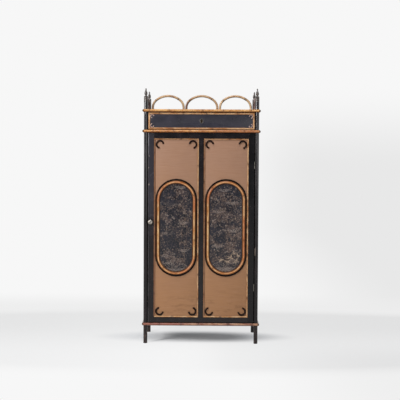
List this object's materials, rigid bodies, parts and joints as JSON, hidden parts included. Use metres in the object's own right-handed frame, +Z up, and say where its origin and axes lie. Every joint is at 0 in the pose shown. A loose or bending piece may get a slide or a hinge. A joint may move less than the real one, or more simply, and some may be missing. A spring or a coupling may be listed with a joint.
{
  "type": "cabinet",
  "caption": "Tall narrow cabinet on round posts with a two-panel hinged door, a drawer, half-round cane trim and a gallery of bent cane arches",
  "frame": {"origin": "on the floor under the middle of the whole outline, from the tip of the knob to the back posts and over the side rods", "axes": "+Z up, +X to the viewer's right when facing the door, -Y out of the front"},
  "size_m": [0.7682, 0.4024, 1.664],
  "materials": {
    "black_lacquer": "black lacquer, worn at the edges",
    "stained_inside": "plain brown stain",
    "golden_cane": "varnished golden cane",
    "red_cane": "varnished red-brown cane",
    "pale_cane": "varnished pale cane",
    "tan_panel": "satin tan",
    "dark_drawer": "black lacquer",
    "dark_plaque": "black lacquer with fine gilt leaf sprays",
    "pewter": "dull grey metal",
    "aged_brass": "dark aged brass",
    "dull_steel": "dull"
  },
  "bodies": {
    "case": {"post_front_left": "black_lacquer", "post_front_right": "black_lacquer", "post_back_left": "black_lacquer", "post_back_right": "black_lacquer", "top_board": "black_lacquer", "divider_board": "black_lacquer", "bottom_board": "black_lacquer", "side_panel_left_lower": "black_lacquer", "side_panel_right_lower": "black_lacquer", "side_panel_left_upper": "black_lacquer", "side_panel_right_upper": "black_lacquer", "back_panel": "stained_inside", "shelf_lower": "stained_inside", "shelf_upper": "stained_inside", "rod_front_top": "golden_cane", "rod_front_middle": "golden_cane", "rod_left_top": "golden_cane", "rod_left_middle": "golden_cane", "rod_right_top": "golden_cane", "rod_right_middle": "golden_cane", "arch_back_left": "golden_cane", "arch_back_middle": "golden_cane", "arch_back_right": "golden_cane", "rod_front_bottom": "red_cane", "rod_left_bottom": "red_cane", "rod_right_bottom": "red_cane", "arch_left_front": "red_cane", "arch_left_back": "red_cane", "arch_right_front": "red_cane", "arch_right_back": "red_cane", "latch_keeper": "aged_brass", "hinge_lower_case": "aged_brass", "hinge_upper_case": "aged_brass"},
    "door": {"door_stile_knob": "black_lacquer", "door_stile_hinge": "black_lacquer", "door_rail_top": "black_lacquer", "door_rail_bottom": "black_lacquer", "door_muntin": "black_lacquer", "door_panel_left": "tan_panel", "door_panel_right": "tan_panel", "panel_border_left": "pale_cane", "panel_border_right": "pale_cane", "medallion_plaque_left": "dark_plaque", "medallion_plaque_right": "dark_plaque", "medallion_ring_left": "golden_cane", "medallion_ring_right": "golden_cane", "hinge_lower_door": "aged_brass", "hinge_upper_door": "aged_brass", "knob_rosette": "aged_brass"},
    "latch": {"door_knob": "pewter", "latch_tongue": "dull_steel"},
    "drawer": {"drawer_front": "dark_drawer", "drawer_side_left": "stained_inside", "drawer_side_right": "stained_inside", "drawer_back": "stained_inside", "drawer_bottom": "stained_inside", "drawer_border": "pale_cane", "lock_case": "aged_brass", "keyhole_escutcheon": "aged_brass"},
    "bolt": {"lock_bolt": "aged_brass"}
  },
  "joints": [
    {"name": "door_hinge", "type": "hinge", "parent": "case", "child": "door", "pos_m": [0.3465, -0.17785, 0.756], "axis": [0, 0, 1], "range_deg": [0, 115]},
    {"name": "knob_turn", "type": "hinge", "parent": "door", "child": "latch", "pos_m": [-0.3295, -0.17485, 0.79705], "axis": [0, 1, 0], "range_deg": [0, 90]},
    {"name": "drawer_slide", "type": "slide", "parent": "case", "child": "drawer", "axis": [0, -1, 0], "range_m": [0, 0.24]},
    {"name": "bolt_slide", "type": "slide", "parent": "drawer", "child": "bolt", "axis": [0, 0, 1], "range_m": [0, 0.008]}
  ]
}
